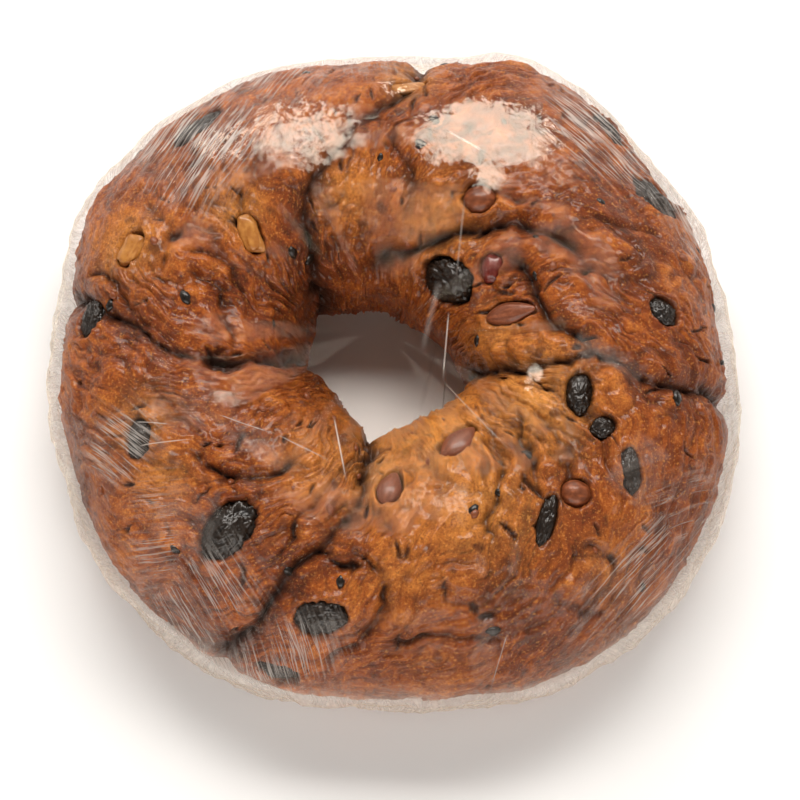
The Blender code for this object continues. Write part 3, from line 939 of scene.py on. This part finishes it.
film = {
    "columns": 600, "holeRows": 22, "topRows": 96, "sideRows": 32, "underRows": 8,
    "clearance": 0.9,  # over the highest crust near by
    "leavesAt": 104.0,  # the turn past the crown where it lets go of the cake
    "hugsTo": -12.0,  # the turn where it leaves the flank for the table
    "flankFrom": 62.0,  # the turn below which it stands off the flank
    "flankGap": 0.7,
    "slack": (2, 1, 0, 0, 0, 1, 2, 2.5, 2.5, 1, 2, 2.5),
    "dip": 3.0,  # the middle of the hole's film, under its rim
    "tuck": 4.0,  # how far inside the waist it meets the table
    "bulge": 1.5,  # how far it stands out between the flank and the table
    "underHeight": 0.2,
    "looseBelow": 56.0, "looseOver": 26.0,  # the height where it begins to hang loose, and over how far
    "flatAbove": 45.0,
}
coverGrid = {"columns": 300, "rows": 92, "margin": 6, "widened": 3, "smoothed": 4}
# Families of fine parallel wrinkles: direction and radius of the middle, reach across
# and along, the way they run, and how strong they are.
wrinkles = [
    (133, 108, 22, 26, 60, 1.0),
    (45, 124, 20, 26, -42, 1.0),
    (25, 132, 12, 24, -62, 0.8),
    (236, 126, 24, 16, -58, 0.6),
    (252, 132, 24, 12, -68, 0.6),
    (222, 116, 22, 10, 0, 0.5),
    (318, 134, 12, 38, 48, 0.6),
    (330, 134, 12, 16, 25, 0.5),
    (176, 132, 9, 9, -58, 1.0),
    (204, 108, 14, 12, -42, 0.8),
    (112, 124, 24, 16, 62, 0.7),
    (90, 122, 26, 12, 100, 0.4),
]
# Long straight folds of stretched film, drawn only as white lines that are whitened film with painted glints:
# (direction, radius) of the two ends, half width, strength.
tensionFolds = [
    ((241, 39), (257, 62), 0.5, 0.75),
    ((18, 26), (318, 30), 0.45, 0.6),
    ((318, 30), (314, 70), 0.4, 0.35),
    ((45, 30), (327, 17), 1.6, 0.16),
    ((60, 62), (36, 34), 0.6, 0.25),
    ((206, 104), (212, 84), 0.35, 0.8),
    ((201, 101), (206, 88), 0.3, 0.7),
    ((209, 72), (226, 58), 0.5, 0.45),
    ((226, 58), (250, 56), 0.5, 0.4),
    ((74, 86), (60, 82), 0.5, 0.6),
    ((292, 124), (286, 142), 0.4, 0.4),
]
# Hazy patches where the film lies double: direction, radius, length, width, the way it points.
veils = [
    (219, 67, 34, 11, -35), (203, 76, 16, 14, 20), (225, 104, 24, 20, -30), (352, 86, 30, 9, -30),
    (287, 128, 26, 8, 85), (291, 100, 8, 5, 80), (298, 103, 11, 4, 80), (292, 76, 18, 5, 85),
    (330, 110, 26, 16, 55), (196, 126, 34, 10, -75), (232, 126, 44, 12, -42),
]

# Where the film is drawn flat and catches the light: direction, radius, half width, half
# depth and how whole the patch is.
flatPatches = [
    (64, 92, 33, 19, 1.0), (58, 76, 9, 9, 0.85), (112, 90, 34, 21, 0.80), (128, 100, 15, 13, 0.75),
    (88, 104, 12, 7, 0.75), (340, 60, 6, 9, 0.7), (250, 84, 12, 6, 0.65), (206, 66, 10, 5, 0.65),
]


def planPoint(direction, radius):
    a = math.radians(direction)
    return np.array([radius * math.cos(a), radius * math.sin(a), 0.0])


def makeCover():
    # the crust's height under the film, which bridges its hollows; read by direction and turn
    columns, rows, margin = coverGrid["columns"], coverGrid["rows"], coverGrid["margin"]
    low, high = math.radians(film["hugsTo"] - margin), math.radians(film["leavesAt"] + margin)
    uu, tt = np.meshgrid(np.linspace(0, 2 * np.pi, columns, endpoint=False), np.linspace(low, high, rows))
    out, _ = relief(uu.ravel(), tt.ravel(), fine=False)
    out = out.reshape(uu.shape)
    for _ in range(coverGrid["widened"]):
        out = np.maximum.reduce([np.roll(out, k, 1) for k in (-1, 0, 1)])
        out[1:-1] = np.maximum.reduce([out[:-2], out[1:-1], out[2:]])
    for _ in range(coverGrid["smoothed"]):
        out = (np.roll(out, 1, 1) + 2 * out + np.roll(out, -1, 1)) / 4
        out[1:-1] = (out[:-2] + 2 * out[1:-1] + out[2:]) / 4

    def coverAt(direction, turn):
        x = (direction % (2 * np.pi)) / (2 * np.pi) * columns
        y = np.clip((turn - low) / (high - low) * (rows - 1), 0, rows - 1.001)
        i, j = x.astype(int) % columns, y.astype(int)
        fx, fy = x - np.floor(x), y - j
        beside = (i + 1) % columns
        lower, upper = (out[k, i] * (1 - fx) + out[k, beside] * fx for k in (j, j + 1))
        return lower * (1 - fy) + upper * fy

    return coverAt


def makeFilmShape():  # rows of points from the middle of the top, down the flank and under
    columns = film["columns"]
    direction = np.linspace(0, 2 * np.pi, columns, endpoint=False)
    away = np.stack([np.cos(direction), np.sin(direction), np.zeros(columns)], -1)
    coverAt = makeCover()

    def over(turn):
        turns = np.full(columns, turn)
        flank = ease(math.radians(film["flankFrom"]) - turns, 0, 1.1)
        lift = coverAt(direction, turns) + film["clearance"]
        lift += flank * (film["flankGap"] + readRound(film["slack"], direction))
        return doughPoint(direction, turns) + doughNormal(direction, turns) * lift[:, None]

    leaves, hugs = math.radians(film["leavesAt"]), math.radians(film["hugsTo"])
    rows = []
    rim = over(leaves)
    lowest = rim[:, 2].mean() - film["dip"]
    for k in range(1, film["holeRows"]):
        s = k / film["holeRows"]
        height = lowest + (rim[:, 2] - lowest) * s**2
        rows.append(np.column_stack([rim[:, :2] * s, height]))
    rows += [over(turn) for turn in np.linspace(leaves, hugs, film["topRows"])]
    edge = rows[-1]
    edgeRadius = np.linalg.norm(edge[:, :2], axis=1)
    foot = readRound(ring["outer"], direction) - film["tuck"]
    for k in range(1, film["sideRows"] + 1):
        s = k / film["sideRows"]
        row = away * (edgeRadius * (1 - s) + foot * s + film["bulge"] * math.sin(math.pi * s))[:, None]
        row[:, 2] = edge[:, 2] * (1 - s) + film["underHeight"] * s
        rows.append(row)
    for k in range(1, film["underRows"]):
        row = away * (foot * (1 - k / film["underRows"]))[:, None]
        row[:, 2] = film["underHeight"]
        rows.append(row)
    return np.array(rows)


def rowNormals(rows):
    n = np.cross(np.gradient(rows, axis=0), np.roll(rows, -1, 1) - np.roll(rows, 1, 1))
    return n / np.maximum(np.linalg.norm(n, axis=-1, keepdims=True), 1e-9)


def turnedTo(p, place, way):  # how far points lie along and across a way, from a place, from above
    a = math.radians(way)
    q = p[:, :2] - place[:2]
    return q @ np.array([math.cos(a), math.sin(a)]), q @ np.array([-math.sin(a), math.cos(a)])


def wrinkleLooks(p):
    # how much the film is wrinkled, and the place across and along the wrinkles, in mm
    mask, grain = np.zeros(len(p)), np.zeros((len(p), 3))
    for number, (direction, radius, across, along, way, strength) in enumerate(wrinkles):
        v, u = turnedTo(p, planPoint(direction, radius), way)
        share = strength * np.exp(-(np.abs(u / across) ** 3) - np.abs(v / along) ** 3)
        share *= 0.45 + 0.55 * ease(noise(p, 15, 43 + number), -0.55, 0.1)
        stronger = share > mask
        mask[stronger] = share[stronger]
        bent = u + 0.8 * noise(p, 24, 41)
        grain[stronger] = np.stack([bent, v / 26, np.full(len(p), 9.0 * number)], -1)[stronger]
    return mask, grain


def veilLooks(p):  # 1 where the film lies double
    veil = np.zeros(len(p))
    shifted = p + 1.5 * noise(p, 6, 51)[:, None]
    for direction, radius, length, width, way in veils:
        u, v = turnedTo(shifted, planPoint(direction, radius), way)
        reach = np.maximum(np.abs(u) / (length / 2), np.abs(v) / (width / 2))
        veil = np.maximum(veil, 1 - ease(reach, 0.85, 1.05))
    return veil


def flatLooks(p):  # how near the middle of a flat patch
    flat = np.zeros(len(p))
    for direction, radius, halfWidth, halfDepth, whole in flatPatches:
        q = (p - planPoint(direction, radius))[:, :2] / (halfWidth, halfDepth)
        flat = np.maximum(flat, whole * np.exp(-((q**2).sum(1) ** 1.5) * 0.7))
    flat[p[:, 2] < film["flatAbove"]] = 0
    return flat


def makeFilm():
    rows = makeFilmShape()
    count, columns, _ = rows.shape
    p = rows.reshape(-1, 3)
    zero = np.zeros(len(p))
    mask, grain = wrinkleLooks(p)
    above = ease(p[:, 2], 1.0, 9.0)
    skirt = ease(film["looseBelow"] - p[:, 2], 0, film["looseOver"]) * above
    aroundRing = np.arctan2(p[:, 1], p[:, 0]) * 135
    pleats = 1 - np.abs(noise(np.stack([aroundRing, p[:, 2] / 4 + 40, zero], -1), 9.0, 63))
    creasing = 1 - np.abs(noise(grain, 3.4, 64))
    onHole = 1 - ease(np.linalg.norm(p[:, :2], axis=1), 24, 34)
    lift = 0.35 * noise(p, 24, 61) * (1 - onHole) + 0.18 * noise(p, 9, 62) * (1 - onHole)
    lift += 0.30 * mask * creasing**3
    lift += skirt * (0.9 * pleats**2 + 1.9 * noise(p, 21, 65) + 0.6 * noise(p, 6, 66))
    p = p + rowNormals(rows).reshape(-1, 3) * (lift * above)[:, None]
    p[:, 2] = np.maximum(p[:, 2], film["underHeight"])
    loose = skirt > mask
    slanting = aroundRing + 9 * noise(p, 40, 67) + 3 * noise(p, 14, 68)
    grain[loose] = np.stack([slanting, p[:, 2] / 12, zero + 300.0], -1)[loose]
    verts = np.vstack([p, rows[0].mean(0) * (0, 0, 1), (0, 0, film["underHeight"])])
    faces = bandFaces(count, columns)[:, [0, 3, 2, 1]].tolist()
    base, top, bottom = (count - 1) * columns, len(verts) - 2, len(verts) - 1
    for i in range(columns):
        j = (i + 1) % columns
        faces += [(top, i, j), (bottom, base + j, base + i)]
    mesh = bpy.data.meshes.new("stretch_film")
    mesh.from_pydata(((verts + holeCentre) * mm).tolist(), [], faces)
    mesh.shade_smooth()
    looks = {"wrinkle": mask, "skirt": skirt, "veil": veilLooks(p), "flat": flatLooks(p), "grain": grain}
    for name, values in looks.items():
        addAttribute(mesh, name, values)
    return addObject("stretch_film", mesh)


def straightLine(tree, position, start, end, halfWidth):
    # 1 on a line seen from above, fading at its ends and sides
    length = np.linalg.norm(end - start)
    way = (end - start) / length
    offset = tree.nodes.new("ShaderNodeVectorMath")
    offset.operation = "SUBTRACT"
    setInputs(offset, {0: position, 1: tuple((start + holeCentre * (1, 1, 0)) * mm)})

    def along(axis):
        dot = tree.nodes.new("ShaderNodeVectorMath")
        dot.operation = "DOT_PRODUCT"
        setInputs(dot, {0: offset.outputs[0], 1: tuple(axis)})
        return dot.outputs["Value"]

    u = along(way)
    v = maths(tree, "ABSOLUTE", along((-way[1], way[0], 0)))
    side = remap(tree, v, halfWidth * mm, 0, 0, 1)
    starts = remap(tree, u, 0, 0.15 * length * mm, 0, 1)
    stops = remap(tree, u, 0.7 * length * mm, length * mm, 1, 0)
    return times(tree, side, times(tree, starts, stops))


filmTones = {"milk": (0.93, 0.87, 0.80, 1), "clear": (0.985, 0.975, 0.965, 1), "gloss": (1.0, 0.91, 0.78, 1)}
filmLook = {
    "whiteAndGlintLines": 0.92, "looseLines": 0.40,  # the wrinkles' whitened creases with painted glints, and their share on loose film
    "veilHaze": 0.09, "wrinkleHaze": 0.10, "looseHaze": 0.60,
    "glossRough": 0.06, "leastGloss": 0.05, "flatGloss": 0.72, "looseGloss": 1.2,
    "facingGloss": 0.07, "grazingGloss": 0.75, "grazingPower": 5.0,
    "levelNormal": (0.0, 0.11, 0.99),  # halfway between the key light and the front
}


def makeFilmMaterial():
    made, tree, milk = nodesOf("stretchFilm")
    coords = tree.nodes.new("ShaderNodeTexCoord").outputs["Object"]
    mask, skirt, veil, flat = (attributeNode(tree, name) for name in ("wrinkle", "skirt", "veil", "flat"))
    facing = tree.nodes.new("ShaderNodeLayerWeight").outputs["Facing"]  # the same from both sides
    threads = noiseNode(tree, 0.5, 3, 0.55, attributeNode(tree, "grain", "Vector"))
    cloudy = noiseNode(tree, 160, 4, 0.6)

    ridges = maths(tree, "ABSOLUTE", maths(tree, "SUBTRACT", threads, 0.5))
    creased = largest(tree, mask, times(tree, skirt, filmLook["looseLines"]))
    lines = times(tree, remap(tree, ridges, 0.05, 0.006, 0, 1), creased)
    # white along the creases: whitened film with painted glints
    whiteAndGlints = times(tree, lines, filmLook["whiteAndGlintLines"])
    for start, end, halfWidth, strength in tensionFolds:
        line = straightLine(tree, coords, planPoint(*start), planPoint(*end), halfWidth)
        whiteAndGlints = largest(tree, whiteAndGlints, times(tree, line, strength))
    edgeOn = remap(tree, facing, 0.3, 0.9, 0.2, 1.15)  # loose film is hazier seen along its folds
    loose = times(tree, remap(tree, skirt, 0.3, 0.9, 0, filmLook["looseHaze"]), edgeOn)
    haze = weighed(tree, (veil, filmLook["veilHaze"]), (mask, filmLook["wrinkleHaze"]), (loose, 1))
    haze = times(tree, haze, remap(tree, cloudy, 0.3, 0.7, 0.6, 1.3))
    haze = times(tree, haze, remap(tree, threads, 0.35, 0.65, 0.35, 1.35))
    cover = largest(tree, whiteAndGlints, haze)

    # a flat patch is level, so that it mirrors the key light
    flat = remap(tree, weighed(tree, (flat, 1), (noiseNode(tree, 210, 9, 0.82), 1.7)), 1.34, 1.66)
    level = tree.nodes.new("ShaderNodeMix")
    level.data_type = "VECTOR"
    outward = tree.nodes.new("ShaderNodeNewGeometry").outputs["Normal"]
    setInputs(level, {0: flat, 4: outward, 5: filmLook["levelNormal"]})
    normal = bumped(tree, weighed(tree, (lines, 1), (cloudy, 0.55)), 0.5, 0.00035, level.outputs[1])
    setInputs(milk, {"Base Color": filmTones["milk"], "Roughness": 0.25, "Normal": normal})

    grazing = times(tree, maths(tree, "POWER", facing, filmLook["grazingPower"]), filmLook["grazingGloss"])
    drawn = largest(
        tree, times(tree, flat, filmLook["flatGloss"]), times(tree, skirt, filmLook["looseGloss"]),
        filmLook["leastGloss"],
    )
    shine = maths(tree, "ADD", grazing, filmLook["facingGloss"])
    shine = maths(tree, "MULTIPLY", shine, drawn, clamp=True)

    def surface(kind, **values):
        node = tree.nodes.new("ShaderNode" + kind)
        setInputs(node, values)
        return node.outputs[0]

    def blend(share, first, second):
        node = tree.nodes.new("ShaderNodeMixShader")
        setInputs(node, {0: share})
        tree.links.new(first, node.inputs[1])
        tree.links.new(second, node.inputs[2])
        return node.outputs[0]

    milky = blend(0.5, milk.outputs[0], surface("BsdfTranslucent", Color=filmTones["milk"]))
    veiled = blend(cover, surface("BsdfTransparent", Color=filmTones["clear"]), milky)
    gloss = surface("BsdfGlossy", Color=filmTones["gloss"], Roughness=filmLook["glossRough"], Normal=normal)
    output = next(node for node in tree.nodes if node.type == "OUTPUT_MATERIAL")
    tree.links.new(blend(shine, veiled, gloss), output.inputs["Surface"])
    return made


makeStage()
print("made the stage")

crust = makeCrustMaterial()
for hump in humps:
    piece = makeHump(*hump)
    piece.data.materials.append(crust)
    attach(piece, "root")
    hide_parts("dough_ring")
    print("made", piece.name, len(piece.data.vertices))

finishes = makeFruitMaterials()
counts = {}
for number, (kind, *place) in enumerate(fruitPieces):
    counts[kind] = counts.get(kind, 0) + 1
    node = f"{kind}_{counts[kind]:02d}"
    piece = makeFruit(number, kind, *place, finishes[kind], "baked_" + node)
    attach(piece, "root")
    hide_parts(node)
print("made the fruit and nuts")

surface, tree = makeSowingMesh(), makeSowingTree()
for name, facts in bits.items():
    piece = sowBits(name, surface, tree, finishes[facts["finish"]])
    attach(piece, "root")
    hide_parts("dough_ring")
    print("sowed", name, len(piece.data.vertices))

wrap = makeFilm()
wrap.data.materials.append(makeFilmMaterial())
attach(wrap, "root")
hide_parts("film_wrap")
print("made the film")
